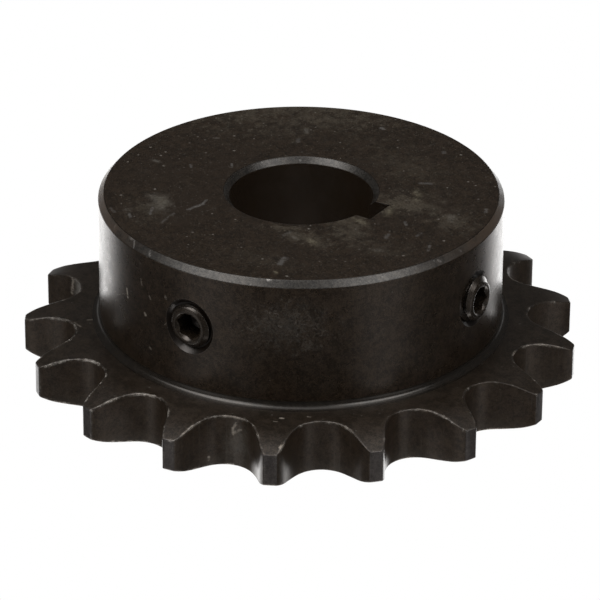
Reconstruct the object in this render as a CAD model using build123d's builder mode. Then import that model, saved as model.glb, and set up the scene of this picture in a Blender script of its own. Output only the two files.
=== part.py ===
from build123d import *
from math import acos, atan2, cos, degrees, hypot, radians, sin, tan
import os

# Roller-chain sprocket: 17 teeth for 1/2 in pitch chain, with a hub on one side,
# a finished bore with a keyway, and two set screws a quarter turn apart in the hub wall.
# The origin is on the bore axis, in the middle plane of the teeth, where the chain runs.
# +Z points to the hub end, and +X through the middle of the keyway and of one tooth.
# Lengths are in millimetres.

INCH = 25.4

# ---- Driving dimensions -------------------------------------------------------------

# Chain: 1/2 in pitch roller chain
pitch = 0.5 * INCH
roller_diameter = 0.3125 * INCH

# Toothed plate
tooth_count = 17
cutter_teeth = 14.07  # a space cutter for 12 to 17 teeth has the form for this many
outside_diameter = 2.925 * INCH
plate_thickness = 0.284 * INCH
bevel_reach = 0.5 * pitch  # how far the rounded side of a tooth runs in from its tip
bevel_drop = 0.11 * pitch  # how much of the plate's face is gone at the tip, on each side

# Hub
hub_diameter = 2.125 * INCH
through_length = 1.0 * INCH  # back face to hub end
hub_base_fillet = 1.0
hub_edge_chamfer = 0.034 * INCH

# Bore and keyway
bore_diameter = 0.75 * INCH
bore_chamfer = INCH / 32  # at both mouths
keyway_width = 3 / 16 * INCH
keyway_depth = 0.105 * INCH

# Set screws, 1/4 in. Screw and tapped hole are both drawn at the thread's major diameter.
screw_diameter = 0.25 * INCH
screw_length = 0.5 * INCH
screw_from_hub_end = 8.6
screw_face_chamfer = 0.75
screw_point_chamfer = 1.3
socket_across_flats = 0.125 * INCH
socket_depth = 3.2
cup_diameter = 2.9
cup_angle = 118
tapped_hole_mouth = 7.7  # diameter of the countersink at the hub's surface
tapped_hole_angle = 90
# Each screw: azimuth in degrees from the keyway, and how far it stands out of the hub
set_screws = {
    "set_screw_over_keyway": (0, 0.9),
    "set_screw_side": (-90, 0.25),
}

# ---- Tooth form ---------------------------------------------------------------------
# Half of one tooth gap, drawn with the gap's middle on +X. The roller seats in an arc a
# little larger than itself. A long arc of the opposite hand carries it up the flank,
# a short straight joins that to the rounded tip, and the mirror image closes the gap.

pitch_radius = pitch / 2 / sin(radians(180 / tooth_count))
outside_radius = outside_diameter / 2
seating_radius = 0.5025 * roller_diameter + 0.0381
seating_angle = 35 + 60 / cutter_teeth
working_angle = 18 - 56 / cutter_teeth
flank_slope = seating_angle - working_angle
topping_angle = 17 - 64 / cutter_teeth
working_radius = 0.8 * roller_diameter + seating_radius
flank_length = roller_diameter * (1.4 * sin(radians(topping_angle)) - 0.8 * sin(radians(working_angle)))
topping_radius = (
    roller_diameter * (0.8 * cos(radians(working_angle)) + 1.4 * cos(radians(topping_angle)) - 1.3025)
    - 0.0381
)
cutter_radius = outside_radius + 0.6  # the gap is drawn past the tips, so that it cuts them clean

roller_centre = Vector(pitch_radius, 0)
working_centre = roller_centre + Vector(0.8 * roller_diameter, 0).rotate(Axis.Z, seating_angle - 90)
topping_centre = roller_centre + Vector(1.4 * roller_diameter, 0).rotate(Axis.Z, 90 + 180 / cutter_teeth)

# Where the topping arc reaches the cutter radius, by the law of cosines
centre_distance = hypot(topping_centre.X, topping_centre.Y)
topping_end = degrees(
    atan2(topping_centre.Y, topping_centre.X)
    - acos(
        (cutter_radius**2 - centre_distance**2 - topping_radius**2)
        / (2 * centre_distance * topping_radius)
    )
)

with BuildSketch() as tooth_gap:
    with BuildLine():
        CenterArc(roller_centre, seating_radius, 90 + seating_angle, 90 - seating_angle)
        working_arc = CenterArc(working_centre, working_radius, 90 + flank_slope, working_angle)
        flank = PolarLine(working_arc @ 0, flank_length, flank_slope)
        topping_arc = CenterArc(
            topping_centre, topping_radius, flank_slope - 90, topping_end - flank_slope + 90
        )
        mirror(about=Plane.XZ)
        Line(topping_arc @ 1, ((topping_arc @ 1).X, -(topping_arc @ 1).Y))
    make_face()

# ---- Sprocket: plate, hub, bore, keyway and tapped holes, all one piece --------------

bore_radius = bore_diameter / 2
hub_radius = hub_diameter / 2
plate_top = plate_thickness / 2
plate_back = -plate_thickness / 2
hub_end = plate_back + through_length
bevel_radius = (bevel_reach**2 + bevel_drop**2) / (2 * bevel_drop)
bevel_sweep = degrees(2 * atan2(bevel_drop, bevel_reach))
bevel_start = outside_radius - bevel_reach


def screw_plane(azimuth, radius):
    """Plane across a set screw's axis, at this distance from the bore's axis, facing outwards."""
    outwards = Vector(1, 0, 0).rotate(Axis.Z, azimuth)
    centre = outwards * radius + Vector(0, 0, hub_end - screw_from_hub_end)
    return Plane(centre, x_dir=(0, 0, 1), z_dir=outwards)


with BuildPart() as sprocket:
    # The turned blank, as one half-section: X is the radius and Y the height
    with BuildSketch(Plane.XZ):
        with BuildLine():
            Polyline(
                (bevel_start, plate_back),
                (bore_radius, plate_back),
                (bore_radius, hub_end),
                (hub_radius, hub_end),
                (hub_radius, plate_top),
                (bevel_start, plate_top),
            )
            hub_side_bevel = CenterArc(
                (bevel_start, plate_top - bevel_radius), bevel_radius, 90 - bevel_sweep, bevel_sweep
            )
            back_bevel = CenterArc(
                (bevel_start, plate_back + bevel_radius), bevel_radius, -90, bevel_sweep
            )
            Line(back_bevel @ 1, hub_side_bevel @ 0)
        make_face()
    revolve(axis=Axis.Z)

    round_edges = sprocket.edges().filter_by(GeomType.CIRCLE)
    bore_mouths = round_edges.filter_by(lambda edge: abs(edge.radius - bore_radius) < 0.01)
    hub_edges = round_edges.filter_by(lambda edge: abs(edge.radius - hub_radius) < 0.01)
    chamfer(bore_mouths, bore_chamfer)
    chamfer(hub_edges.sort_by(Axis.Z)[-1], hub_edge_chamfer)
    fillet(hub_edges.sort_by(Axis.Z)[0], hub_base_fillet)

    # The tooth gaps, half a tooth round from the keyway
    with BuildSketch(Plane.XY.offset(plate_back)):
        with PolarLocations(0, tooth_count, start_angle=180 / tooth_count):
            add(tooth_gap.sketch)
    extrude(amount=plate_thickness, mode=Mode.SUBTRACT)

    # The keyway, broached from end to end
    with BuildSketch(Plane.XY.offset(plate_back)):
        Rectangle(bore_radius + keyway_depth, keyway_width, align=(Align.MIN, Align.CENTER))
    extrude(amount=through_length, mode=Mode.SUBTRACT)

    # The tapped holes, countersunk, from the hub's surface into the bore
    with Locations([screw_plane(azimuth, hub_radius) for azimuth, _ in set_screws.values()]):
        CounterSinkHole(screw_diameter / 2, tapped_hole_mouth / 2, hub_radius, tapped_hole_angle)

sprocket.part.label = "sprocket"

# ---- Set screws ---------------------------------------------------------------------

screw_radius = screw_diameter / 2
cup_radius = cup_diameter / 2
cup_height = cup_radius / tan(radians(cup_angle / 2))


def make_set_screw(azimuth, standing_out):
    """A socket set screw with a cup point. Its socket end faces out of the hub."""
    face = screw_plane(azimuth, hub_radius + standing_out)
    point = face.origin - face.z_dir * screw_length
    with BuildPart() as screw:
        # Half-section: X is the radius, and Y runs out along the screw from its point
        with BuildSketch(Plane(point, x_dir=face.x_dir, z_dir=-face.y_dir)):
            Polygon(
                (0, cup_height),
                (cup_radius, 0),
                (screw_radius - screw_point_chamfer, 0),
                (screw_radius, screw_point_chamfer),
                (screw_radius, screw_length - screw_face_chamfer),
                (screw_radius - screw_face_chamfer, screw_length),
                (0, screw_length),
                align=None,
            )
        revolve(axis=Axis(point, face.z_dir))

        # The hexagon socket
        with BuildSketch(face):
            RegularPolygon(socket_across_flats / 2, 6, major_radius=False)
        extrude(amount=-socket_depth, mode=Mode.SUBTRACT)
    return screw


screws = {name: make_set_screw(*place) for name, place in set_screws.items()}

# ---- Files --------------------------------------------------------------------------

os.makedirs("parts", exist_ok=True)
export_step(sprocket.part, "parts/sprocket.step")
for name, screw in screws.items():
    screw.part.label = name
    export_step(screw.part, f"parts/{name}.step")
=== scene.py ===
import math

import bmesh
import bpy
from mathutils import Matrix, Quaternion, Vector


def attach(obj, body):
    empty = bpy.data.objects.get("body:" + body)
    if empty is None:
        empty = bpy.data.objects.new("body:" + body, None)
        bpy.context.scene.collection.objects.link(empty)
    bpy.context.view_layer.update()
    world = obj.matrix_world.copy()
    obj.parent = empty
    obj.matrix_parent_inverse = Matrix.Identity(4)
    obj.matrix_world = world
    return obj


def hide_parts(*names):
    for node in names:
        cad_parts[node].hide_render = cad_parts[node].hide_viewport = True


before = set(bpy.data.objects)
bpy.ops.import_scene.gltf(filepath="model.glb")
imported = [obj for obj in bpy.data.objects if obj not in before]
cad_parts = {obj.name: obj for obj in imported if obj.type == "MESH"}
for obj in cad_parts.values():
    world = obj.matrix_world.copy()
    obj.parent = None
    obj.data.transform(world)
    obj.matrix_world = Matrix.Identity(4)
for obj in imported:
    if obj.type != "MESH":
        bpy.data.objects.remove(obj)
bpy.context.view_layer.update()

# A roller-chain sprocket in black-oxide steel, with two socket set screws in its hub.
# Sizes are in millimetres here and become metres when a mesh is made. The origin is on
# the bore axis in the middle plane of the teeth, +Z to the hub end, +X to the keyway.

MM = 0.001
INCH = 25.4

# ---- Sizes ----

PITCH = 0.5 * INCH
ROLLER = 0.3125 * INCH  # its diameter
TEETH = 17
CUTTER_TEETH = 14.07  # the form of a space cutter for 12 to 17 teeth
OUTSIDE_RADIUS = 1.4625 * INCH
PLATE_TOP = 0.142 * INCH  # half the plate's thickness
BEVEL_REACH = 0.5 * PITCH  # how far the rounded side of a tooth runs in from its tip
BEVEL_DROP = 0.11 * PITCH  # and how much of the plate's face is gone at the tip
BEVEL_RADIUS = (BEVEL_REACH**2 + BEVEL_DROP**2) / (2 * BEVEL_DROP)

HUB_RADIUS = 1.0625 * INCH
HUB_END = INCH - PLATE_TOP
FILLET = 1.0  # at the hub's base
RIM_IN, RIM_DOWN = 0.8, 0.92  # chamfer on the hub's outer edge
CHAMFER = INCH / 32  # at both mouths of the bore
BORE_RADIUS = 0.375 * INCH
KEY_HALF_WIDTH = 3 / 32 * INCH
KEY_FLOOR = BORE_RADIUS + 0.105 * INCH
KEY_CORNER = 0.2  # radius of the keyway's inside corners
CLEAR_OF_KEYWAY = 13.4  # radius of the smallest ring on the end faces that misses the keyway

SCREW_HEIGHT = HUB_END - 8.6
SCREW_LENGTH = 0.5 * INCH
SCREW_POINT_RADIUS = 1.875
THREAD_PITCH = INCH / 20
THREAD_MAJOR = 0.125 * INCH
THREAD_MINOR = 2.45
THREAD_START = -0.18  # where the thread starts, as a share of its pitch
SCREW_THREAD = (THREAD_MAJOR - 0.04, THREAD_MINOR)  # radius of its crests and of its roots
TAP_THREAD = (THREAD_MAJOR + 0.03, THREAD_MINOR + 0.12)  # the hole's, a little larger
MOUTH_RADIUS = 3.85  # of the hole's countersink, at the hub's wall
SOCKET_HALF_WIDTH = 1.6  # half of what it measures across its flats
SOCKET_DEPTH = 3.2
SOCKET_MOUTH = 2.0  # radius of the countersink in the screw's face
NEAR_AXIS = 0.02  # radius of the small face that closes a skin on its axis

EDGE = 0.12  # how far the tooth edges are rounded
TIP_BREAK = 0.2  # and the upright corners of the tips
BREAK = 0.06  # half-width of the broken edges of hub and bore
GUARD = 0.06  # width of the strip beside a broken edge, which keeps wide faces' shading flat


# ---- Mesh helpers ----


def closed_grid(name, rows, in_a_loop=False):
    """A closed skin over rings of points, all with the same count. The rings run round in a
    loop, or the first and the last are each filled with one face."""
    count = len(rows[0])
    points = [tuple(c * MM for c in point) for row in rows for point in row]
    faces = []
    for j in range(len(rows) if in_a_loop else len(rows) - 1):
        a, b = j * count, (j + 1) % len(rows) * count
        for i in range(count):
            k = (i + 1) % count
            faces.append((a + i, a + k, b + k, b + i))
    if not in_a_loop:
        faces.append(tuple(reversed(range(count))))
        faces.append(tuple(range(len(points) - count, len(points))))
    mesh = bpy.data.meshes.new(name)
    mesh.from_pydata(points, [], faces)
    skin = bmesh.new()
    skin.from_mesh(mesh)
    bmesh.ops.recalc_face_normals(skin, faces=skin.faces)
    skin.to_mesh(mesh)
    skin.free()
    obj = bpy.data.objects.new(name, mesh)
    bpy.context.scene.collection.objects.link(obj)
    return obj


def apply_modifiers(obj):
    bpy.context.view_layer.update()
    evaluated = obj.evaluated_get(bpy.context.evaluated_depsgraph_get())
    mesh = bpy.data.meshes.new_from_object(evaluated)
    obj.modifiers.clear()
    obj.data = mesh


def smooth_up_to(obj, sharpest):
    """Smooth shading, apart from edges that turn by more than this many degrees."""
    obj.data.shade_smooth()
    obj.data.set_sharp_from_angle(angle=math.radians(sharpest))


def between(low, high, steps):
    """Values from low to high, both included, in equal steps."""
    return [low + (high - low) * i / steps for i in range(steps + 1)]


# The angles of these four are in degrees


def sine(angle):
    return math.sin(math.radians(angle))


def cosine(angle):
    return math.cos(math.radians(angle))


def arc(centre, radius, start, sweep, steps):
    """Points along an arc, ends included."""
    angles = [start + sweep * i / steps for i in range(steps + 1)]
    return [(centre[0] + radius * cosine(a), centre[1] + radius * sine(a)) for a in angles]


def turned(point, angle):
    x, y = point
    return (x * cosine(angle) - y * sine(angle), x * sine(angle) + y * cosine(angle))


# ---- Tooth outline ----


def half_gap():
    """One side of a tooth gap whose middle is on +X, from its bottom to the tooth's tip."""
    # The roller's seat, the working arc, a short straight flank and the topping arc
    pitch_radius = PITCH / 2 / math.sin(math.pi / TEETH)
    seat_radius = 0.5025 * ROLLER + 0.0381
    seat_angle = 35 + 60 / CUTTER_TEETH
    work_radius = 0.8 * ROLLER + seat_radius
    work_angle = 18 - 56 / CUTTER_TEETH
    slope = seat_angle - work_angle
    top_angle = 17 - 64 / CUTTER_TEETH
    top_radius = ROLLER * (0.8 * cosine(work_angle) + 1.4 * cosine(top_angle) - 1.3025) - 0.0381
    flank = ROLLER * (1.4 * sine(top_angle) - 0.8 * sine(work_angle))
    roller = (pitch_radius, 0.0)
    shift = turned((0.8 * ROLLER, 0), seat_angle - 90)
    work_centre = (roller[0] + shift[0], roller[1] + shift[1])
    shift = turned((1.4 * ROLLER, 0), 90 + 180 / CUTTER_TEETH)
    top_centre = (roller[0] + shift[0], roller[1] + shift[1])

    points = arc(roller, seat_radius, 180, seat_angle - 90, 7)
    points += arc(work_centre, work_radius, 90 + slope + work_angle, -work_angle, 4)[1:]
    x, y = points[-1]
    points.append((x + flank * cosine(slope), y + flank * sine(slope)))
    # The topping arc ends at the outside radius, by the law of cosines
    reach = math.hypot(*top_centre)
    end = math.degrees(
        math.atan2(top_centre[1], top_centre[0])
        - math.acos((OUTSIDE_RADIUS**2 - reach**2 - top_radius**2) / (2 * reach * top_radius))
    )
    points += arc(top_centre, top_radius, slope - 90, end - slope + 90, 7)[1:]
    return points


def tooth_outline():
    """The whole outline, tooth by tooth, starting in the gap before the tooth on +X."""
    side = half_gap()
    corner = side[-1]
    tip_angle = 180 / TEETH - math.degrees(math.atan2(corner[1], corner[0]))
    # The corner between flank and tip is broken with a short curve
    back = side[-2]
    run = math.hypot(corner[0] - back[0], corner[1] - back[1])
    near = tuple(c + (b - c) * TIP_BREAK / run for c, b in zip(corner, back))
    step = math.degrees(TIP_BREAK / OUTSIDE_RADIUS)
    land = turned(corner, step)
    curve = [
        tuple(
            (1 - t) ** 2 * start + 2 * t * (1 - t) * middle + t**2 * end
            for start, middle, end in zip(near, corner, land)
        )
        for t in (0.25, 0.5, 0.75)
    ]
    side = side[:-1] + [near, *curve, land]
    half_land = tip_angle - step
    side.append(turned(land, half_land * 0.55))
    tip = turned(land, half_land)
    outline = []
    for tooth in range(TEETH):
        middle_of_gap = (tooth - 0.5) * 360 / TEETH
        rising = [turned(point, middle_of_gap) for point in side]
        rising.append(turned(tip, middle_of_gap))
        falling = [turned((x, -y), middle_of_gap + 360 / TEETH) for x, y in side]
        outline += rising + falling[:0:-1]
    return outline


def plate_height(radius):
    """Half the plate's thickness at this radius: flat, then rounded away to the tips."""
    over = max(0.0, radius - (OUTSIDE_RADIUS - BEVEL_REACH))
    return PLATE_TOP - (BEVEL_RADIUS - math.sqrt(BEVEL_RADIUS**2 - over**2))


def inward_normals(outline):
    """The direction into the steel at each point of the outline."""
    normals = []
    for i, point in enumerate(outline):
        before, after = outline[i - 1], outline[(i + 1) % len(outline)]
        dx, dy = after[0] - before[0], after[1] - before[1]
        size = math.hypot(dx, dy)
        normals.append((-dy / size, dx / size))
    return normals


# ---- The sprocket ----


def ring(radius, height, angles):
    return [(radius * math.cos(a), radius * math.sin(a), height) for a in angles]


def keyed_ring(radius, height, angles, grow=0.0):
    """A ring of the bore that runs out round the keyway, which may be a little larger."""
    half_width, floor = KEY_HALF_WIDTH + grow, KEY_FLOOR + grow
    half = math.asin(half_width / radius)
    inside = [i for i, a in enumerate(angles) if abs(math.remainder(a, math.tau)) <= half]
    mouth_x = radius * math.cos(half)
    corner = (floor - KEY_CORNER, -half_width + KEY_CORNER)
    path = [(mouth_x, -half_width)]
    path += arc(corner, KEY_CORNER, -90, 90, 4)
    path += [(x, -y) for x, y in reversed(path)]
    lengths = [0.0]
    for (x0, y0), (x1, y1) in zip(path, path[1:]):
        lengths.append(lengths[-1] + math.hypot(x1 - x0, y1 - y0))
    points = ring(radius, height, angles)
    order = sorted(inside, key=lambda i: math.remainder(angles[i], math.tau))
    for n, i in enumerate(order):
        along = lengths[-1] * n / (len(order) - 1)
        k = max(j for j in range(len(lengths) - 1) if lengths[j] <= along + 1e-9)
        share = (along - lengths[k]) / (lengths[k + 1] - lengths[k])
        (x0, y0), (x1, y1) = path[k], path[k + 1]
        points[i] = (x0 + (x1 - x0) * share, y0 + (y1 - y0) * share, height)
    return points


def make_sprocket():
    outline = tooth_outline()
    normals = inward_normals(outline)
    count = len(outline)
    angles = [math.tau * (i / count - 0.5 / TEETH) for i in range(count)]

    def tooth_ring(inset, drop, side):
        """The tooth outline, moved inwards, and dropped from the face on this side: 1 or -1."""
        points = []
        for (x, y), (nx, ny) in zip(outline, normals):
            px, py = x + nx * inset, y + ny * inset
            points.append((px, py, side * (plate_height(math.hypot(px, py)) - drop)))
        return points

    def web_ring(share, side):
        """Between the hub and the tooth edges."""
        inner = ring(HUB_RADIUS + FILLET, 0, angles)
        outer = tooth_ring(EDGE + GUARD, 0, side)
        points = []
        for p, q in zip(inner, outer):
            x, y = p[0] + (q[0] - p[0]) * share, p[1] + (q[1] - p[1]) * share
            points.append((x, y, side * plate_height(math.hypot(x, y))))
        return points

    # Each edge is broken by a narrow strip, with a guarding strip on either side
    rows = []
    rim = HUB_RADIUS - RIM_IN
    bore_rim = BORE_RADIUS + CHAMFER
    # Hub end, from the bore outwards
    rows += [keyed_ring(bore_rim + d, HUB_END, angles, d) for d in (BREAK, BREAK + GUARD)]
    rows += [ring(r, HUB_END, angles) for r in between(CLEAR_OF_KEYWAY, rim - BREAK - GUARD, 4)]
    rows.append(ring(rim - BREAK, HUB_END, angles))
    # Hub chamfer
    rim_shares = (0.05, 0.15, 0.38, 0.62, 0.85, 0.95)
    rows += [ring(rim + s * RIM_IN, HUB_END - s * RIM_DOWN, angles) for s in rim_shares]
    # Hub wall and the fillet at its base
    rows += [ring(HUB_RADIUS, HUB_END - RIM_DOWN - d, angles) for d in (BREAK, BREAK + GUARD)]
    rows += [
        ring(HUB_RADIUS, z, angles)
        for z in between(HUB_END - RIM_DOWN - 0.7, PLATE_TOP + FILLET + 0.1, 8)
    ]
    fillet_centre = (HUB_RADIUS + FILLET, PLATE_TOP + FILLET)
    rows += [ring(r, z, angles) for r, z in arc(fillet_centre, FILLET, 180, 90, 8)]
    # Plate: the upper face, the teeth with their rounded edges, and the lower face
    rows += [web_ring(s, 1) for s in (0.03, 0.12, 0.3, 0.45, 0.6, 0.75, 0.88, 1)]
    edge_angles = (0.0, 0.52, 1.05, 1.5708)
    broken = [(EDGE * (1 - math.sin(a)), EDGE * (1 - math.cos(a))) for a in edge_angles]
    rows += [tooth_ring(inset, drop, 1) for inset, drop in broken]
    top_edge, bottom_edge = tooth_ring(0, EDGE + GUARD, 1), tooth_ring(0, EDGE + GUARD, -1)
    for share in between(0, 1, 5):
        edges = zip(top_edge, bottom_edge)
        rows.append([(x, y, high + (low - high) * share) for (x, y, high), (_, _, low) in edges])
    rows += [tooth_ring(inset, drop, -1) for inset, drop in reversed(broken)]
    rows += [web_ring(s, -1) for s in between(1, 0, 7)]
    # Back face, then up the bore
    rows += [ring(r, -PLATE_TOP, angles) for r in (22, 16, CLEAR_OF_KEYWAY)]
    rows += [keyed_ring(bore_rim + d, -PLATE_TOP, angles, d) for d in (BREAK + GUARD, BREAK)]
    mouth = (0.7 * BREAK, BREAK + GUARD, 0.4, CHAMFER - BREAK - GUARD, CHAMFER - 0.7 * BREAK)
    rows += [keyed_ring(bore_rim - d, d - PLATE_TOP, angles) for d in mouth]
    low, high = CHAMFER + BREAK - PLATE_TOP, HUB_END - CHAMFER - BREAK
    rows += [
        keyed_ring(BORE_RADIUS, z, angles)
        for z in [low] + between(low + GUARD, high - GUARD, 6) + [high]
    ]
    rows += [keyed_ring(bore_rim - d, HUB_END - d, angles) for d in reversed(mouth)]
    return closed_grid("sprocket_body", rows, in_a_loop=True)


# ---- Set screws and their tapped holes ----

# Azimuth from the keyway, how far it stands out of the hub, and turn of its socket
SCREWS = {
    "set_screw_over_keyway": (0, 0.9, 10),
    "set_screw_side": (-90, 0.25, 15),
}


# The shapes below are drawn in cylinder coordinates round the screw's axis: radius, angle
# and distance from the bore's axis


def thread_radius(along, turn, thread):
    """Radius of a 60 degree thread at this distance out along the screw and this angle."""
    crest, root = thread
    share = (along / THREAD_PITCH - turn + THREAD_START) % 1.0
    height = abs(share - 0.5) * 2  # 0 in the middle of a groove, 1 in the middle of a crest
    # The groove is flat up to 0.2 of that, and the crest from 0.85
    return root + (crest - root) * min(1.0, max(0.0, (height - 0.2) / 0.65))


def thread_rows(low, high, per_pitch, count, thread, limit=None):
    """Rings of a thread. limit gives the most that the radius may be at a distance."""
    steps = max(2, round((high - low) / THREAD_PITCH * per_pitch))
    rows = []
    for along in between(low, high, steps):
        row = []
        for i in range(count):
            radius = thread_radius(along, i / count, thread)
            if limit:
                radius = min(radius, limit(along))
            row.append((radius, i / count * math.tau, along))
        rows.append(row)
    return rows


def stand(rows, azimuth):
    """Sets cylinder coordinates along a screw axis that points outwards at this azimuth."""
    out = Vector((cosine(azimuth), sine(azimuth), 0))
    side = Vector((-sine(azimuth), cosine(azimuth), 0))
    up = Vector((0, 0, 1))
    height = Vector((0, 0, SCREW_HEIGHT))
    return [
        [
            tuple(out * along + side * (r * math.cos(t)) + up * (r * math.sin(t)) + height)
            for r, t, along in row
        ]
        for row in rows
    ]


def level(radius, along, count):
    return [(radius, i / count * math.tau, along) for i in range(count)]


def hexagon(along, count, lean):
    """A ring of the hexagon socket, with its corners eased a little."""
    corner = SOCKET_HALF_WIDTH / math.cos(math.tau / 12) * 0.97
    row = []
    for i in range(count):
        t = i / count * math.tau
        local = (t + lean) % (math.tau / 6) - math.tau / 12
        row.append((min(SOCKET_HALF_WIDTH / math.cos(local), corner), t, along))
    return row


def make_set_screw(name, azimuth, standing_out, lean):
    count = 96
    face = HUB_RADIUS + standing_out
    point = face - SCREW_LENGTH
    crown = ((0, 2.15), (0.02, 2.3), (0.07, 2.44), (0.17, 2.595))  # depth and radius

    def ends(along):
        """The thread runs out in a crowned face at one end and a chamfer at the other."""
        depth = face - along
        crown_radius = crown[-1][1] + depth - crown[-1][0]
        for (depth0, radius0), (depth1, radius1) in zip(crown, crown[1:]):
            if depth0 <= depth <= depth1:
                rise = (radius1 - radius0) * (depth - depth0) / (depth1 - depth0)
                crown_radius = radius0 + rise
        return min(crown_radius, SCREW_POINT_RADIUS + (along - point), SCREW_THREAD[0])

    # The drill's point at the bottom of the socket, and the socket
    rows = [
        level(NEAR_AXIS, face - SOCKET_DEPTH - 0.9, count),
        level(0.8, face - SOCKET_DEPTH - 0.35, count),
    ]
    rows += [hexagon(face - depth, count, lean) for depth in (SOCKET_DEPTH, 2.2, 1.2, 0.6)]
    # Its mouth is countersunk, which scallops the hexagon's upper edge
    for depth in (0.44, 0.4, 0.36, 0.3, 0.24, 0.18, 0.12, 0.04):
        flats = hexagon(face - depth, count, lean)
        rows.append([(max(radius, SOCKET_MOUTH - depth), t, along) for radius, t, along in flats])
    rows += [level(SOCKET_MOUTH + 0.02, face, count), level(SOCKET_MOUTH + 0.08, face, count)]
    # The thread, finer where it can be seen, and the cup point
    outer = thread_rows(face - 1.4, face, 60, count, SCREW_THREAD, ends)
    inner = thread_rows(point, face - 1.45, 18, count, SCREW_THREAD, ends)
    rows += outer[::-1] + inner[::-1]
    rows += [level(1.8, point, count), level(1.55, point, count)]
    rows.append(level(NEAR_AXIS, point + 0.85, count))
    screw = closed_grid(name, stand(rows, azimuth))
    smooth_up_to(screw, 40)
    return screw


def make_tap(name, azimuth):
    """The shape of the tapped and countersunk hole, to be cut out of the hub."""
    count = 64
    past = 1.0  # how far it runs out of the steel at either end
    sink = MOUTH_RADIUS - THREAD_MAJOR
    start = HUB_RADIUS - sink
    inside = BORE_RADIUS - past
    outside = start + sink + past
    rows = [level(NEAR_AXIS, inside, count)]
    rows += thread_rows(inside, start, 8, count, TAP_THREAD)
    rows.append(level(THREAD_MAJOR + 0.05, start + 0.02, count))
    rows.append(level(MOUTH_RADIUS + past, outside, count))
    rows.append(level(NEAR_AXIS, outside, count))
    return closed_grid(name, stand(rows, azimuth))


def cut(body, tools):
    for tool in tools:
        step = body.modifiers.new("cut", "BOOLEAN")
        step.operation = "DIFFERENCE"
        step.solver = "EXACT"
        step.object = tool
    apply_modifiers(body)
    for tool in tools:
        bpy.data.objects.remove(tool)


sprocket = make_sprocket()
cut(sprocket, [make_tap(f"tap_{name}", azimuth) for name, (azimuth, _, _) in SCREWS.items()])
smooth_up_to(sprocket, 38)
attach(sprocket, "root")
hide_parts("sprocket")

screws = {}
for name, (azimuth, standing_out, lean) in SCREWS.items():
    screws[name] = make_set_screw(f"{name}_threaded", azimuth, standing_out, math.radians(lean))
    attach(screws[name], "root")
    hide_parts(name)

# ---- Node helpers ----


def give(tree, socket, value):
    """Joins another node's socket to this one, or sets this one to a fixed value."""
    if isinstance(value, bpy.types.NodeSocket):
        tree.links.new(value, socket)
    else:
        socket.default_value = value


def put(tree, kind, values=None, **settings):
    """Adds a shader node. values go to its inputs, and settings to the node itself."""
    node = tree.nodes.new("ShaderNode" + kind)
    for name, value in settings.items():
        setattr(node, name, value)
    for name, value in (values or {}).items():
        give(tree, node.inputs[name], value)
    return node


def calc(tree, operation, *values, clamp=False):
    """A Math node's result."""
    node = put(tree, "Math", dict(enumerate(values)), operation=operation, use_clamp=clamp)
    return node.outputs[0]


def vector(tree, operation, *values):
    """A vector operation that gives a vector."""
    return put(tree, "VectorMath", dict(enumerate(values)), operation=operation).outputs[0]


def scaled(tree, direction, scale):
    values = {0: direction, "Scale": scale}
    return put(tree, "VectorMath", values, operation="SCALE").outputs[0]


def measure(tree, operation, *values):
    """A vector operation that gives a number, such as a length or a dot product."""
    return put(tree, "VectorMath", dict(enumerate(values)), operation=operation).outputs["Value"]


def fade(tree, value, start, end):
    """0 at start, 1 at end, eased between them."""
    limits = {"Value": value, "From Min": start, "From Max": end}
    return put(tree, "MapRange", limits, interpolation_type="SMOOTHSTEP").outputs[0]


def grain(tree, position, scale, detail, roughness=0.55):
    """Noise from 0 to 1, with this many lumps to a millimetre."""
    values = {"Vector": position, "Scale": scale, "Detail": detail, "Roughness": roughness}
    return put(tree, "TexNoise", values).outputs[0]


def turned_about_z(tree, direction, angle):
    values = {"Vector": direction, "Angle": calc(tree, "MULTIPLY", angle, -1.0)}
    return put(tree, "VectorRotate", values, rotation_type="Z_AXIS").outputs[0]


def new_group(name, inputs, output):
    """A node group with these named inputs and their defaults, and one named output."""
    tree = bpy.data.node_groups.new(name, "ShaderNodeTree")
    for label, value in inputs.items():
        kind = "Vector" if isinstance(value, tuple) else "Float"
        socket = tree.interface.new_socket(label, in_out="INPUT", socket_type="NodeSocket" + kind)
        socket.default_value = value
    tree.interface.new_socket(output, in_out="OUTPUT", socket_type="NodeSocketFloat")
    given = tree.nodes.new("NodeGroupInput").outputs
    result = tree.nodes.new("NodeGroupOutput").inputs[output]
    return tree, given, result


def place(tree, group, **values):
    """Places an effect group with its own values and gives its output."""
    node = put(tree, "Group", None, node_tree=group)
    for name, value in values.items():
        give(tree, node.inputs[name.replace("_", " ")], value)
    return node.outputs[0]


# ---- Effects that several finishes share ----

NOWHERE = (0.0, 0.0, 0.0)


def make_mottle():
    """Cloudy change of tone that carries on down to a fine grain, as bluing takes on steel.
    Size is the widest cloud's, and Fineness the share of the grain. Each variant is another
    cloud."""
    tree, given, result = new_group(
        "oxide_mottle",
        {"Position": NOWHERE, "Size": 4.0, "Contrast": 1.0, "Variant": 0.0, "Fineness": 1.0},
        "Mask",
    )
    moved = vector(tree, "ADD", given["Position"], given["Variant"])
    scale = calc(tree, "DIVIDE", 1.0, given["Size"])
    cloud = grain(tree, moved, scale, 4.0, given["Fineness"])
    # The noise keeps close to 0.5, so it is spread out about that
    spread = calc(tree, "MULTIPLY", given["Contrast"], 5.0)
    mask = calc(tree, "MULTIPLY_ADD", calc(tree, "SUBTRACT", cloud, 0.5), spread, 0.5, clamp=True)
    tree.links.new(mask, result)
    return tree


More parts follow.
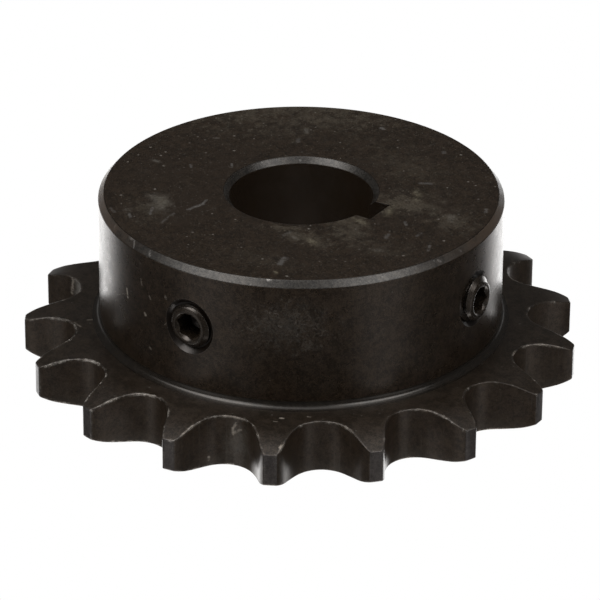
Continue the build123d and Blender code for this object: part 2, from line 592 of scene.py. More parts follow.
def make_ragged_patch():
    """A patch with ragged edges at a place of its own, from a smear to loose powder. Size is
    half its length, width and height."""
    tree, given, result = new_group(
        "ragged_patch",
        {"Position": NOWHERE, "Centre": NOWHERE, "Size": (4.0, 2.0, 2.0), "Turn": 0.0,
         "Ragged": 0.8, "Powder": 0.3},
        "Mask",
    )
    offset = vector(tree, "SUBTRACT", given["Position"], given["Centre"])
    offset = turned_about_z(tree, offset, given["Turn"])
    distance = measure(tree, "LENGTH", vector(tree, "DIVIDE", offset, given["Size"]))
    # Coarse noise pushes the patch's edge in and out
    lumps = calc(tree, "SUBTRACT", grain(tree, given["Position"], 0.7, 5.0, 0.7), 0.5)
    raggedness = calc(tree, "MULTIPLY", given["Ragged"], 2.5)
    patch = fade(tree, calc(tree, "MULTIPLY_ADD", lumps, raggedness, distance), 1.15, 0.0)
    # Powder is the same patch in fine grains, which lie closest in its middle
    grains = grain(tree, given["Position"], 3.2, 2.0, 0.8)
    sparse = calc(tree, "MULTIPLY_ADD", patch, -0.3, 0.66)
    powder = fade(tree, grains, sparse, calc(tree, "ADD", sparse, 0.14))
    mask = put(tree, "Mix", {0: given["Powder"], 2: patch, 3: powder}).outputs[0]
    tree.links.new(mask, result)
    return tree


def make_scratch():
    """One straight scratch from Start to End."""
    tree, given, result = new_group(
        "scratch",
        {"Position": NOWHERE, "Start": NOWHERE, "End": (1.0, 0.0, 0.0), "Width": 0.15},
        "Mask",
    )
    wander = put(tree, "TexNoise", {"Vector": given["Position"], "Scale": 0.9, "Detail": 2.0})
    shift = vector(tree, "SUBTRACT", wander.outputs["Color"], (0.5, 0.5, 0.5))
    shifted = vector(tree, "ADD", given["Position"], scaled(tree, shift, 0.4))
    reach = vector(tree, "SUBTRACT", shifted, given["Start"])
    line = vector(tree, "SUBTRACT", given["End"], given["Start"])
    share = calc(
        tree, "DIVIDE", measure(tree, "DOT_PRODUCT", reach, line),
        measure(tree, "DOT_PRODUCT", line, line), clamp=True,
    )
    distance = measure(tree, "LENGTH", vector(tree, "SUBTRACT", reach, scaled(tree, line, share)))
    mark = fade(tree, distance, given["Width"], calc(tree, "MULTIPLY", given["Width"], 0.2))
    broken = fade(tree, grain(tree, given["Position"], 2.5, 3.0), 0.3, 0.55)
    tree.links.new(calc(tree, "MULTIPLY", mark, broken), result)
    return tree


def make_specks():
    """Scattered bright points: lint and bare spots. Share is how many of them show."""
    tree, given, result = new_group(
        "specks", {"Position": NOWHERE, "Spacing": 2.0, "Size": 0.15, "Share": 0.5}, "Mask"
    )
    cells = put(
        tree, "TexVoronoi",
        {"Vector": given["Position"], "Scale": calc(tree, "DIVIDE", 1.0, given["Spacing"])},
    )
    chance = put(tree, "SeparateColor", {"Color": cells.outputs["Color"]}).outputs
    distance = calc(tree, "MULTIPLY", cells.outputs["Distance"], given["Spacing"])
    size = calc(tree, "MULTIPLY", given["Size"], calc(tree, "ADD", chance[1], 0.4))
    dot = fade(tree, distance, size, calc(tree, "MULTIPLY", size, 0.3))
    shown = calc(tree, "LESS_THAN", chance[0], given["Share"])
    bright = calc(tree, "POWER", chance[2], 1.5)
    tree.links.new(calc(tree, "MULTIPLY", calc(tree, "MULTIPLY", dot, shown), bright), result)
    return tree


def make_edge_wear_and_highlight():
    """Where edges have rubbed through to bare steel, or carry a painted highlight. Patchy, so that
    it breaks into dots.
    """
    tree, given, result = new_group(
        "edge_wear_and_highlight", {"Position": NOWHERE, "Reach": 0.2, "Patchy": 0.5, "Dot": 0.6}, "Mask"
    )
    reach = calc(tree, "MULTIPLY", given["Reach"], MM)
    rounded = put(tree, "Bevel", {"Radius": reach}, samples=6).outputs[0]
    facing = put(tree, "NewGeometry").outputs["Normal"]
    edge = fade(tree, measure(tree, "DOT_PRODUCT", rounded, facing), 0.995, 0.9)
    patches = grain(tree, given["Position"], calc(tree, "DIVIDE", 1.0, given["Dot"]), 4.0, 0.75)
    low = calc(tree, "MULTIPLY_ADD", given["Patchy"], 0.25, 0.3)
    worn = fade(tree, patches, low, calc(tree, "ADD", low, 0.14))
    tree.links.new(calc(tree, "MULTIPLY", edge, worn), result)
    return tree


def make_streaks():
    """Wipe marks side by side. Size is a mark's width, length and height."""
    tree, given, result = new_group(
        "streaks", {"Position": NOWHERE, "Size": (0.2, 8.0, 8.0), "Turn": 0.0, "Share": 0.5},
        "Mask",
    )
    along = turned_about_z(tree, given["Position"], given["Turn"])
    lines = grain(tree, vector(tree, "DIVIDE", along, given["Size"]), 1.0, 2.0, 0.6)
    start = calc(tree, "MULTIPLY_ADD", given["Share"], -0.4, 0.78)
    tree.links.new(fade(tree, lines, start, calc(tree, "ADD", start, 0.16)), result)
    return tree


def make_turning_marks():
    """The fine grooves that a lathe leaves round the part, each one a few millimetres long."""
    tree, given, result = new_group(
        "turning_marks", {"Position": NOWHERE, "Spacing": 0.25, "Length": 6.0}, "Height"
    )
    axes = put(tree, "SeparateXYZ", {0: given["Position"]}).outputs
    flat = put(tree, "CombineXYZ", {"X": axes[0], "Y": axes[1]}).outputs[0]
    radius = measure(tree, "LENGTH", flat)
    # Length is what a groove measures 26 mm from the axis, about where the hub wall is
    per_groove = calc(tree, "DIVIDE", 26.0, given["Length"])
    around = scaled(tree, vector(tree, "NORMALIZE", flat), per_groove)
    out_and_up = calc(tree, "MULTIPLY_ADD", axes[2], 1.7, radius)
    across = calc(tree, "DIVIDE", out_and_up, given["Spacing"])
    rise = put(tree, "CombineXYZ", {"Z": across}).outputs[0]
    tree.links.new(grain(tree, vector(tree, "ADD", around, rise), 1.0, 2.0, 0.7), result)
    return tree


def make_dents():
    """Small shallow dents, close together, as a hammer or a dropped part leaves them."""
    tree, given, result = new_group("dents", {"Position": NOWHERE, "Spacing": 1.2}, "Height")
    wander = put(tree, "TexNoise", {"Vector": given["Position"], "Scale": 1.1, "Detail": 2.0})
    moved = vector(tree, "ADD", given["Position"], scaled(tree, wander.outputs["Color"], 1.3))
    cells = put(
        tree, "TexVoronoi",
        {"Vector": moved, "Scale": calc(tree, "DIVIDE", 1.0, given["Spacing"]), "Smoothness": 0.5},
        feature="SMOOTH_F1",
    )
    tree.links.new(cells.outputs["Distance"], result)
    return tree


mottle, ragged_patch, scratch, specks = make_mottle(), make_ragged_patch(), make_scratch(), make_specks()
edge_wear_and_highlight, streaks, turning_marks = make_edge_wear_and_highlight(), make_streaks(), make_turning_marks()
dents = make_dents()


# ---- Finishes ----


class Finish:
    """A steel finish, built up by laying one thing over another."""

    def __init__(self, name, colour, roughness, metallic):
        self.material = bpy.data.materials.new(name)
        self.material.use_nodes = True
        self.tree = self.material.node_tree
        self.shader = self.tree.nodes["Principled BSDF"]
        self.shader.inputs["Specular IOR Level"].default_value = 0.9
        metres = put(self.tree, "TexCoord").outputs["Object"]
        self.position = scaled(self.tree, metres, 1 / MM)
        self.colour = (*colour, 1)
        self.roughness = roughness
        self.metallic = metallic
        self.height = None

    def effect(self, group, **values):
        return place(self.tree, group, Position=self.position, **values)

    def lay(self, mask, colour=None, roughness=None, metallic=None, strength=1.0):
        """Lays a colour, roughness or metal share over what is there, where the mask is."""
        share = calc(self.tree, "MULTIPLY", mask, strength)
        if colour is not None:
            values = {0: share, 6: self.colour, 7: (*colour, 1)}
            self.colour = put(self.tree, "Mix", values, data_type="RGBA").outputs[2]
        if roughness is not None:
            values = {0: share, 2: self.roughness, 3: roughness}
            self.roughness = put(self.tree, "Mix", values).outputs[0]
        if metallic is not None:
            values = {0: share, 2: self.metallic, 3: metallic}
            self.metallic = put(self.tree, "Mix", values).outputs[0]

    def mark(self, group, coat, strength, **values):
        """Lays a coat of colour, roughness and metallic where an effect's mask is."""
        self.lay(self.effect(group, **values), *coat, strength)

    def raise_by(self, height, amount, mask=1.0):
        """Adds relief, in millimetres."""
        more = calc(self.tree, "MULTIPLY", calc(self.tree, "MULTIPLY", height, amount), mask)
        self.height = calc(self.tree, "ADD", self.height, more) if self.height else more

    def close(self):
        give(self.tree, self.shader.inputs["Base Color"], self.colour)
        give(self.tree, self.shader.inputs["Roughness"], self.roughness)
        give(self.tree, self.shader.inputs["Metallic"], self.metallic)
        if self.height:
            bump = put(self.tree, "Bump", {"Distance": MM, "Height": self.height})
            self.tree.links.new(bump.outputs[0], self.shader.inputs["Normal"])
        return self.material


# The oxide's darkest and palest tone on each surface
BLACK_OXIDE = ((0.018, 0.01, 0.0036), (0.064, 0.0425, 0.0262))
END_OXIDE = ((0.016, 0.0092, 0.0034), (0.059, 0.0385, 0.023))
TAPPED_OXIDE = ((0.008, 0.0046, 0.0022), (0.02, 0.0115, 0.0055))
FILLET_OXIDE = ((0.014, 0.0106, 0.0074), (0.038, 0.031, 0.0235))
WARM_OXIDE = ((0.018, 0.012, 0.0066), (0.058, 0.0425, 0.03))
GREY_OXIDE = ((0.018, 0.0158, 0.013), (0.062, 0.055, 0.047))
TIP_OXIDE = ((0.04, 0.034, 0.031), (0.1, 0.086, 0.08))
DARK_OXIDE = ((0.016, 0.01, 0.0054), (0.042, 0.0255, 0.0128))
BROWN_OXIDE = (0.062, 0.036, 0.018)
BLUE_OXIDE = (0.03, 0.03, 0.033)

BARE_STEEL = (0.36, 0.34, 0.32)
WORN_STEEL = (0.55, 0.48, 0.4)
GREY_DUST = (0.2, 0.185, 0.16)

# What lies over the oxide, or shows where it has gone, or is painted shade or highlight:
# colour, roughness and metallic
DARK_FILM = ((0.028, 0.017, 0.009), 0.36, 0.3)
# dust, and at the back of the hub end a painted reflection
DUST_AND_SHEEN_VEIL = ((0.17, 0.145, 0.105), 0.5, 0.35)
TAN_STAIN = ((0.24, 0.21, 0.14), 0.6, 0.3)
GREY_STAIN = (GREY_DUST, 0.6, 0.3)
GREY_SPECK = (GREY_DUST, 0.6, 0.2)
PALE_SPECK = ((0.34, 0.31, 0.27), 0.6, 0.2)
# painted shade: brown for the far sides of the hub chamfer
PAINTED_SIDE_SHADE = (BROWN_OXIDE, 0.6, 0.1)
SCRATCHED = (BARE_STEEL, 0.4, 0.8)
POLISHED = (BARE_STEEL, 0.35, 0.9)
SCUFFED = (WORN_STEEL, 0.45, 0.6)
# partly wear, partly a painted highlight, near-white on the tooth edges
PALE_WEAR_AND_HIGHLIGHT = ((0.8, 0.74, 0.66), 0.6, 0.2)


def oxide_finish(name, shades, roughness, size, contrast):
    """Oxide that took unevenly: light and dark, then brown and blue, then the gloss. Size is
    the widest cloud's, and contrast that of light and dark."""
    darkest, palest = shades
    finish = Finish(name, darkest, roughness, 0.5)
    finish.lay(finish.effect(mottle, Size=size, Contrast=contrast, Fineness=1.25), palest)
    finish.lay(finish.effect(mottle, Size=size * 3, Variant=31.0), BROWN_OXIDE, strength=0.1)
    finish.lay(finish.effect(mottle, Size=size * 3, Variant=57.0), BLUE_OXIDE, strength=0.1)
    gloss = finish.effect(mottle, Size=size * 2, Contrast=1.0, Variant=83.0)
    finish.lay(gloss, roughness=roughness + 0.08, strength=0.8)
    finish.raise_by(grain(finish.tree, finish.position, 3.0, 5.0, 0.6), 0.004)
    return finish


# These three give a point on the part for a place in one of the tables of marks


def on_end(x, y):
    return (x, y, HUB_END)


def on_rim(azimuth, depth):
    """On the hub's chamfer, this far below the hub end."""
    radius = HUB_RADIUS - RIM_IN * (1 - depth / RIM_DOWN)
    return (radius * cosine(azimuth), radius * sine(azimuth), HUB_END - depth)


def on_wall(azimuth, height):
    return (HUB_RADIUS * cosine(azimuth), HUB_RADIUS * sine(azimuth), height)


def draw_scratches(finish, marks, coat, place_at=None):
    """Each mark has a start, an end, a width and a strength. The start and the end are points,
    or places that place_at turns into points."""
    for start, end, width, strength in marks:
        if place_at:
            start, end = place_at(*start), place_at(*end)
        finish.mark(scratch, coat, strength, Start=start, End=end, Width=width)


def draw_patches(stains, coat, ragged):
    """Each of the hub end's patches, stains and dust and one painted reflection, has x, y,
    half-length, half-width, turn, powder and strength."""
    for x, y, length, width, turn, powder, strength in stains:
        hub_end.mark(
            ragged_patch, coat, strength, Centre=on_end(x, y), Size=(length, width, 2.0),
            Turn=math.radians(turn), Ragged=ragged, Powder=powder,
        )


# ---- Hub end ----

# The columns of these tables are given in draw_patches and draw_scratches
DUST_AND_SHEEN_FIELDS = (
    (13, 3.2, 8, 4.4, 40, 0.6, 0.46),
    (11.2, -5.6, 7, 3.6, -50, 0.6, 0.36),
    (7.6, -11.6, 6.5, 2.8, -12, 0.6, 0.38),
    (20.6, 3.4, 6, 3.4, -30, 0.6, 0.32),
    (8, 13.6, 8, 5, -20, 0.6, 0.16),
    (18, -9, 6, 3.4, 20, 0.6, 0.14),
    (6.5, -20, 8, 3, 10, 0.6, 0.12),
    (-13.4, -15.6, 6, 4, -45, 0.6, 0.22),
    # This wide field at the back is a painted reflection, lighter where the end face is seen at a
    # grazing angle; the others are dust
    (-14.5, 23, 26, 13, 32, 0.6, 0.36),
)
DARK_STAINS = (
    (-9.8, -12.4, 7, 5, -72, 0, 0.9),
    (-7.4, -16.6, 3, 2.2, -40, 0.2, 0.5),
    (-12, 0.6, 9, 5, -70, 0, 0.6),
    (-17, -6, 8, 6, -40, 0, 0.5),
    (18, 6.6, 4.6, 3.4, -10, 0.6, 0.55),
    (15, -1.8, 2.6, 2.4, 0, 0.5, 0.5),
    (9.5, -16, 5, 3.4, -40, 0.3, 0.4),
)
TAN_STAINS = (
    (13.7, 6.9, 2, 1, -60, 0.4, 0.5),
    (13.2, 0.8, 2.2, 0.9, 100, 0.3, 0.42),
    (11.4, -3.7, 2, 0.7, -12, 0.4, 0.36),
    (9.2, -12, 1.2, 0.7, -30, 0.5, 0.5),
    (-13.6, -13, 2.4, 1.4, -48, 0.4, 0.25),
    (10.2, -22.1, 0.6, 0.35, -50, 0.3, 0.6),
)
GREY_STAINS = (
    (20.9, 3.7, 2, 0.9, -50, 0.5, 0.36),
    (17.8, -9.6, 1.8, 0.7, 12, 0.6, 0.24),
    (-21, -3.3, 1.1, 0.5, -15, 0.3, 0.5),
    (-18.2, 7.2, 0.7, 0.4, 40, 0.3, 0.45),
    (-13.8, -13.2, 3.6, 2, -48, 0.3, 0.4),
    (-16, -17.6, 1.4, 1, -50, 0.7, 0.34),
    (6.6, -12.4, 1.6, 0.4, -10, 0.4, 0.34),
)
END_SCRATCHES = (  # x and y of the start, and of the end
    ((-8.9, -9.4), (-8.6, -10.6), 0.32, 0.43),
    ((-8.6, -10.6), (-8.9, -12), 0.42, 0.56),
    ((-8.9, -12), (-9.3, -13.2), 0.32, 0.37),
    ((-13.5, -15.2), (-12.7, -17), 0.32, 0.37),
    ((-10.3, -15), (-10, -18.2), 0.26, 0.25),
    ((-18, -18.4), (-17, -19), 0.32, 0.31),
    ((-15, -18.4), (-14.3, -19.2), 0.32, 0.37),
    ((-16.6, -1.6), (-16, -2.3), 0.26, 0.37),
    ((-12.1, 1.6), (-11.5, 0.7), 0.26, 0.43),
    ((12.2, 10.3), (13.4, 11), 0.45, 0.37),
    ((16.5, -0.6), (17.1, -1.4), 0.32, 0.37),
    ((19.9, -2.4), (19.9, -3.3), 0.35, 0.31),
    ((16.5, -5), (16.9, -6), 0.42, 0.31),
    ((22.7, -4.8), (23.3, -6.1), 0.32, 0.43),
    ((23.5, 8.3), (23.9, 7.6), 0.38, 0.43),
    ((9, -18.1), (9.3, -19.7), 0.64, 0.43),
    ((5.5, -11.3), (5.4, -12.5), 0.48, 0.25),
    ((-1.1, 22.2), (-0.8, 22.1), 0.54, 0.56),
    ((9.9, 20.3), (10.1, 20), 0.45, 0.37),
    ((-9.5, 16.2), (-8.9, 15.3), 0.48, 0.19),
    ((-8.7, 13), (-8.3, 12.2), 0.42, 0.25),
)

hub_end = oxide_finish("hub_end_oxide", END_OXIDE, roughness=0.31, size=1.3, contrast=3.6)
hub_end.mark(mottle, DARK_FILM, 0.5, Size=0.7, Contrast=3.0, Variant=11.0)
# Dust fields, and at the back of the hub end a painted reflection
draw_patches(DUST_AND_SHEEN_FIELDS, DUST_AND_SHEEN_VEIL, ragged=1.3)
draw_patches(DARK_STAINS, DARK_FILM, ragged=0.8)
draw_patches(TAN_STAINS, TAN_STAIN, ragged=0.8)
draw_patches(GREY_STAINS, GREY_STAIN, ragged=0.8)
draw_scratches(hub_end, END_SCRATCHES, SCRATCHED, on_end)
for turn, strength in ((-20, 0.12), (35, 0.08)):
    wipes = hub_end.effect(streaks, Size=(0.3, 3.0, 3.0), Turn=math.radians(turn), Share=0.45)
    hub_end.lay(wipes, GREY_DUST, strength=strength)
hub_end.mark(specks, PALE_SPECK, 0.8, Spacing=1.3, Size=0.2, Share=0.5)
hub_end.mark(specks, PALE_SPECK, 0.5, Spacing=0.6, Size=0.16, Share=0.7)
hub_end.mark(edge_wear_and_highlight, POLISHED, 0.5, Reach=0.15, Patchy=0.4)
hub_end.raise_by(hub_end.effect(turning_marks, Spacing=0.3), 0.002)

# ---- Hub chamfer, and the chamfers of the bore ----

NICKS = (  # azimuth and depth of the start, and of the end
    ((-115.5, 0.1), (-113, 0.1), 0.3, 0.8),
    ((-113, 0.1), (-111.6, 0.8), 0.2, 0.9),
    ((-105.2, 0.3), (-104.6, 0.6), 0.3, 0.8),
    ((-124.2, 0.3), (-123.6, 0.5), 0.3, 0.6),
    ((-15.8, 0.3), (-15.2, 0.5), 0.25, 0.6),
    ((-7, 0.3), (-6.6, 0.5), 0.25, 0.6),
    ((-66.8, 0.1), (-66.2, 0.2), 0.3, 0.8),
)

rim = oxide_finish("hub_rim_oxide", GREY_OXIDE, roughness=0.3, size=1.2, contrast=1.8)
rim.raise_by(rim.effect(turning_marks, Spacing=0.22), 0.003)
draw_scratches(rim, NICKS, POLISHED, on_rim)
# Painted shade: towards its far left and right the chamfer's grey gives way to brown, where it
# catches little light
for x, y, turn in ((26.0, 6.5, 75), (-21.0, -17.0, -50)):
    rim.mark(
        ragged_patch, PAINTED_SIDE_SHADE, 0.9, Centre=on_end(x, y), Size=(17.0, 12.0, 9.0), Turn=math.radians(turn),
        Ragged=0.6, Powder=0.1,
    )
rubbed = (WORN_STEEL, 0.4, 0.6)
rim.mark(
    ragged_patch, rubbed, 0.4, Centre=on_end(-25.2, -8.0), Size=(9.0, 9.0, 5.0), Ragged=0.4, Powder=0.1
)
rim.mark(specks, SCRATCHED, 0.4, Spacing=1.2, Size=0.2, Share=0.5)
rim.mark(edge_wear_and_highlight, SCRATCHED, 0.6, Reach=0.3, Patchy=0.5, Dot=1.0)

# ---- Hub wall, fillet, bore and tapped holes ----

BEATEN = dict(Centre=(12.9, -23.7, 15.4), Size=(8.2, 6.0, 5.4), Turn=math.radians(28))
WALL_SCRATCHES = (  # azimuth and height of the start, and of the end
    ((-114.8, 14.4), (-114.3, 13.2), 0.22, 1),
    ((-123.5, 12.1), (-112.3, 14.6), 0.1, 0.4),
    ((-120.9, 12.2), (-114.8, 13.7), 0.1, 0.35),
    ((-106.3, 12.5), (-105.9, 12.3), 0.28, 0.9),
    ((-104.3, 15.4), (-103.7, 15), 0.21, 0.45),
    ((-98, 16.4), (-97.6, 16.2), 0.24, 0.4),
    ((-107.8, 17.2), (-107.4, 16.4), 0.18, 0.4),
    ((-104.2, 7.8), (-103.8, 7.7), 0.24, 0.4),
    ((-98.5, 12.2), (-97, 12.9), 0.1, 0.5),
    ((-96.5, 11.4), (-95.5, 12.6), 0.1, 0.5),
    ((-93, 12.6), (-92, 11.6), 0.1, 0.5),
)

hub_wall = oxide_finish("hub_wall_oxide", BLACK_OXIDE, roughness=0.27, size=1.6, contrast=1.25)
hub_wall.raise_by(hub_wall.effect(turning_marks, Spacing=0.3), 0.0015)
beaten = hub_wall.effect(ragged_patch, Ragged=0.5, Powder=0.0, **BEATEN)
hub_wall.raise_by(hub_wall.effect(dents, Spacing=0.9), 0.1, beaten)
hub_wall.lay(beaten, GREY_DUST, 0.42, 0.5, 0.06)
hub_wall.mark(ragged_patch, (GREY_DUST, 0.5, 0.4), 0.2, Ragged=0.8, Powder=1.0, **BEATEN)
draw_scratches(hub_wall, WALL_SCRATCHES, SCUFFED, on_wall)
hub_wall.mark(specks, GREY_SPECK, 0.7, Spacing=1.5, Size=0.14, Share=0.5)
hub_wall.mark(edge_wear_and_highlight, POLISHED, 0.4, Reach=0.15, Patchy=0.3)

fillet = oxide_finish("hub_fillet_oxide", FILLET_OXIDE, roughness=0.18, size=1.6, contrast=0.6)
bore = oxide_finish("bore_oxide", DARK_OXIDE, roughness=0.3, size=1.6, contrast=0.1)
tapped = oxide_finish("tapped_hole_oxide", TAPPED_OXIDE, roughness=0.3, size=1.6, contrast=0.3)

# ---- Plate and teeth ----

PLATE_MARKS = (  # points
    ((13.75, -26.4, PLATE_TOP), (14.05, -26.3, PLATE_TOP), 0.3, 1),
    ((13.4, -27.6, PLATE_TOP), (13.9, -27.4, PLATE_TOP), 0.15, 0.5),
    ((16.5, -24.1, PLATE_TOP), (16.8, -24, PLATE_TOP), 0.21, 0.5),
    ((16.9, -31.2, 2.83), (17, -31.6, 2.7), 0.21, 0.7),
    ((17.3, -30.4, 2.95), (17.5, -30.7, 2.9), 0.18, 0.5),
    ((-22.5, -17.8, PLATE_TOP), (-21.8, -17, PLATE_TOP), 0.18, 0.5),
    ((-23.6, -19.3, PLATE_TOP), (-22.2, -19.8, PLATE_TOP), 0.18, 0.4),
    ((-31.4, -8.4, 3.5), (-31.6, -8.5, 3.3), 0.24, 0.5),
)
GAP_SCRATCHES = (  # points: the first three make a hook
    ((8.36, -29.4, 1.05), (8.43, -29.4, 1.9), 0.28, 0.45),
    ((8.43, -29.4, 1.9), (8.8, -29.3, 2.6), 0.28, 0.5),
    ((8.36, -29.4, 1.05), (9.49, -29.2, 1.9), 0.26, 0.4),
    ((-31.4, -8.5, 3.3), (-31.6, -8.5, 1.1), 0.4, 0.5),
    ((5.8, -31.3, -2.6), (5.9, -31.4, -2.2), 0.3, 0.6),
)
RUBBED_GAPS = (  # centre, half-size, powder, strength
    ((9.1, -29.2, -0.3), (3.2, 1.6, 4.8), 0.4, 0.3),
    ((-29.9, -9.2, 2.4), (1.8, 1.8, 2.6), 0.2, 0.9),
)

plate = oxide_finish("plate_oxide", WARM_OXIDE, roughness=0.32, size=1.6, contrast=1.8)
plate.mark(specks, GREY_SPECK, 0.8, Spacing=1.3, Size=0.16, Share=0.6)
draw_scratches(plate, PLATE_MARKS, SCUFFED)

tooth_wall = oxide_finish("tooth_wall_oxide", BLACK_OXIDE, roughness=0.31, size=1.6, contrast=0.8)
tooth_wall.mark(streaks, (GREY_DUST, 0.42, 0.6), 0.16, Size=(0.35, 0.35, 14.0), Share=0.45)
tooth_wall.mark(specks, GREY_SPECK, 0.6, Spacing=1.8, Size=0.14, Share=0.5)
# Painted reflection: the tooth walls turn lighter and greyer towards the lower face, as if lit by
# the white floor
wall_height = put(tooth_wall.tree, "SeparateXYZ", {0: tooth_wall.position}).outputs[2]
painted_floor_light = fade(tooth_wall.tree, wall_height, -PLATE_TOP * 0.4, -PLATE_TOP)
tooth_wall.lay(painted_floor_light, GREY_DUST, 0.5, 0.3, 0.12)
for centre, half_size, powder, strength in RUBBED_GAPS:
    tooth_wall.mark(
        ragged_patch, (GREY_DUST, 0.45, 0.4), strength, Centre=centre, Size=half_size, Powder=powder
    )
draw_scratches(tooth_wall, GAP_SCRATCHES, SCUFFED)

tip = oxide_finish("tooth_tip_oxide", TIP_OXIDE, roughness=0.33, size=1.6, contrast=0.8)

# The edges are rubbed bright, in long stretches and in dots, and most on one side. The
# near-white coat is partly wear and partly a painted highlight, thickest where the strongest light
# falls
for finish in (plate, tooth_wall, tip):
    finish.mark(edge_wear_and_highlight, SCRATCHED, 0.5, Reach=0.3, Patchy=0.4, Dot=2.5)
    finish.mark(edge_wear_and_highlight, (WORN_STEEL, 0.55, 0.4), 0.8, Reach=0.5, Patchy=0.9, Dot=5.0)
    worn_and_lit_side = finish.effect(
        ragged_patch, Centre=(-15.0, -30.0, 2.0), Size=(40.0, 30.0, 30.0), Ragged=0.3
    )
    dotted = finish.effect(edge_wear_and_highlight, Reach=0.6, Patchy=0.65, Dot=1.2)
    finish.lay(calc(finish.tree, "MULTIPLY", dotted, worn_and_lit_side), *PALE_WEAR_AND_HIGHLIGHT, 1.0)
    finish.mark(edge_wear_and_highlight, PALE_WEAR_AND_HIGHLIGHT, 0.7, Reach=0.6, Patchy=1.0, Dot=1.2)

# ---- Which finish goes where ----

FINISHES = (hub_end, rim, hub_wall, fillet, bore, tapped, plate, tooth_wall, tip)
for finish in FINISHES:
    sprocket.data.materials.append(finish.close())


def finish_at(radius, height, upright):
    """Which finish a face of the sprocket takes, by its place and how far it faces up or down."""
    if radius < BORE_RADIUS + CHAMFER + 0.001:
        at_mouth = min(HUB_END - height, height + PLATE_TOP) < CHAMFER and upright > 0.5
        return rim if at_mouth else bore
    if height > HUB_END - 0.001:
        return hub_end
    if height > HUB_END - RIM_DOWN and radius > HUB_RADIUS - RIM_IN:
        return rim
    if radius < KEY_FLOOR + 0.01 and upright < 0.6:
        return bore
    if radius < HUB_RADIUS - 0.03 and height > PLATE_TOP:
        return tapped
    if radius < HUB_RADIUS + FILLET * 0.99 and height > PLATE_TOP:
        return fillet if height < PLATE_TOP + FILLET else hub_wall
    if upright > 0.6:
        return plate
    return tip if radius > OUTSIDE_RADIUS - 0.1 else tooth_wall


for face in sprocket.data.polygons:
    x, y, z = face.center / MM
    finish = finish_at(math.hypot(x, y), z, abs(face.normal.z))
    face.material_index = FINISHES.index(finish)

screw_finish = oxide_finish("set_screw_oxide", WARM_OXIDE, roughness=0.23, size=1.6, contrast=0.8)
screw_finish.mark(edge_wear_and_highlight, (BARE_STEEL, 0.3, 0.9), 0.35, Reach=0.1, Patchy=0.3)
screw_steel = screw_finish.close()
for screw in screws.values():
    screw.data.materials.append(screw_steel)

# ---- Floor, light and camera ----

scene = bpy.context.scene
scene.view_settings.view_transform = "Standard"

# The floor is only there to be seen: the part is lit by the table among the lights below
UNDER_THE_PART = 0.01
bpy.ops.mesh.primitive_plane_add(size=40, location=(0, 0, (-PLATE_TOP - UNDER_THE_PART) * MM))
floor = bpy.context.object
floor.name = "floor"
floor_white = bpy.data.materials.new("floor_white")
floor_white.use_nodes = True
tree = floor_white.node_tree
glow = put(tree, "Emission", {"Color": (1, 1, 1, 1), "Strength": 1.0})
tree.links.new(glow.outputs[0], tree.nodes["Material Output"].inputs["Surface"])
floor.data.materials.append(floor_white)
floor.visible_glossy = False
floor.visible_diffuse = False
floor.visible_shadow = False


def make_soft_light():
    """A soft-edged panel far away, by its direction and size in degrees. Azimuth and Height
    are the direction looked in, and At azimuth and At height that of the panel's middle."""
    tree, given, result = new_group(
        "soft_light",
        {"Azimuth": 0.0, "Height": 0.0, "At azimuth": 0.0, "At height": 0.0, "Half width": 180.0,
         "Half height": 10.0, "Side fade": 10.0, "Edge fade": 10.0, "Level": 1.0},
        "Light",
    )
    apart = calc(tree, "SUBTRACT", given["Azimuth"], given["At azimuth"])
    apart = calc(tree, "FLOORED_MODULO", calc(tree, "ADD", apart, 180.0), 360.0)
    apart = calc(tree, "ABSOLUTE", calc(tree, "SUBTRACT", apart, 180.0))
    above = calc(tree, "ABSOLUTE", calc(tree, "SUBTRACT", given["Height"], given["At height"]))
    light = given["Level"]
    for gap, half, soft in (
        (apart, given["Half width"], given["Side fade"]),
        (above, given["Half height"], given["Edge fade"]),
    ):
        inside = fade(tree, gap, calc(tree, "ADD", half, soft), calc(tree, "SUBTRACT", half, soft))
        light = calc(tree, "MULTIPLY", light, inside)
    tree.links.new(light, result)
    return tree


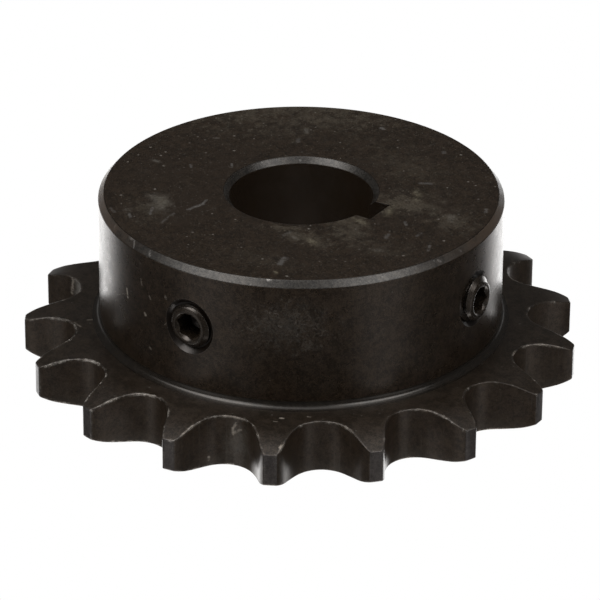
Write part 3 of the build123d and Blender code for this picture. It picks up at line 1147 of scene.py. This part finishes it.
world = bpy.data.worlds.new("studio")
scene.world = world
world.use_nodes = True
tree = world.node_tree
axes = put(tree, "SeparateXYZ", {0: put(tree, "TexCoord").outputs["Generated"]}).outputs
around = calc(tree, "DEGREES", calc(tree, "ARCTAN2", axes[1], axes[0]))
above = calc(tree, "DEGREES", calc(tree, "ARCSINE", axes[2]))
soft_light = make_soft_light()
AMBIENT = 0.06
LIGHTS = (  # azimuth, height, half width, half height, side fade, edge fade, level
    (241.3, 54.2, 27.8, 16.1, 16.7, 8.4, 3.76),  # left softbox
    (356.3, 48.9, 25.0, 11.2, 11.8, 7.8, 3.61),  # right softbox
    (0, 81.8, 400, 21.2, 10, 10.6, 0.91),  # overhead
    (123.5, -20.9, 44.6, 12.7, 9.5, 14.4, 3.24),  # lit sweep behind the part
    (250.4, -5.6, 15.1, 28.3, 10.1, 13.3, 0.44),  # left card
    (349.9, -8.9, 15.0, 24.6, 9.0, 12.9, 0.47),  # right card
    (0, -75, 400, 18.3, 10, 10.2, 3.33),  # the table under the part
)
light = AMBIENT
for azimuth, height, half_width, half_height, side_fade, edge_fade, strength in LIGHTS:
    panel = place(
        tree, soft_light, Azimuth=around, Height=above, At_azimuth=azimuth, At_height=height,
        Half_width=half_width, Half_height=half_height, Side_fade=side_fade, Edge_fade=edge_fade,
        Level=strength,
    )
    light = calc(tree, "ADD", panel, light)
# The camera sees plain white where it looks past the floor
seen = put(tree, "LightPath").outputs["Is Camera Ray"]
shown = put(tree, "Mix", {0: seen, 2: light, 3: 1.0}).outputs[0]
background = tree.nodes["Background"]
background.inputs["Color"].default_value = (1, 1, 1, 1)
tree.links.new(shown, background.inputs["Strength"])

VIEW_TURN = 32.3  # degrees that the camera stands round from -Y towards +X
VIEW_ELEVATION = 27.5
VIEW_ROLL = 0.38
VIEW_DISTANCE = 582.7
AIM = Vector((-0.066, -0.051, 5.308))
FOCAL_LENGTH = 260.18
SENSOR_WIDTH = 36

back = Vector((
    sine(VIEW_TURN) * cosine(VIEW_ELEVATION),
    -cosine(VIEW_TURN) * cosine(VIEW_ELEVATION),
    sine(VIEW_ELEVATION),
))
camera_data = bpy.data.cameras.new("camera")
camera_data.sensor_width = SENSOR_WIDTH
camera_data.lens = FOCAL_LENGTH
camera_data.clip_start = 0.01
camera = bpy.data.objects.new("camera", camera_data)
scene.collection.objects.link(camera)
scene.camera = camera
camera.location = AIM * MM + back * (VIEW_DISTANCE * MM)
camera.rotation_mode = "QUATERNION"
roll = Quaternion((0, 0, 1), math.radians(VIEW_ROLL))
camera.rotation_quaternion = (-back).to_track_quat("-Z", "Y") @ roll
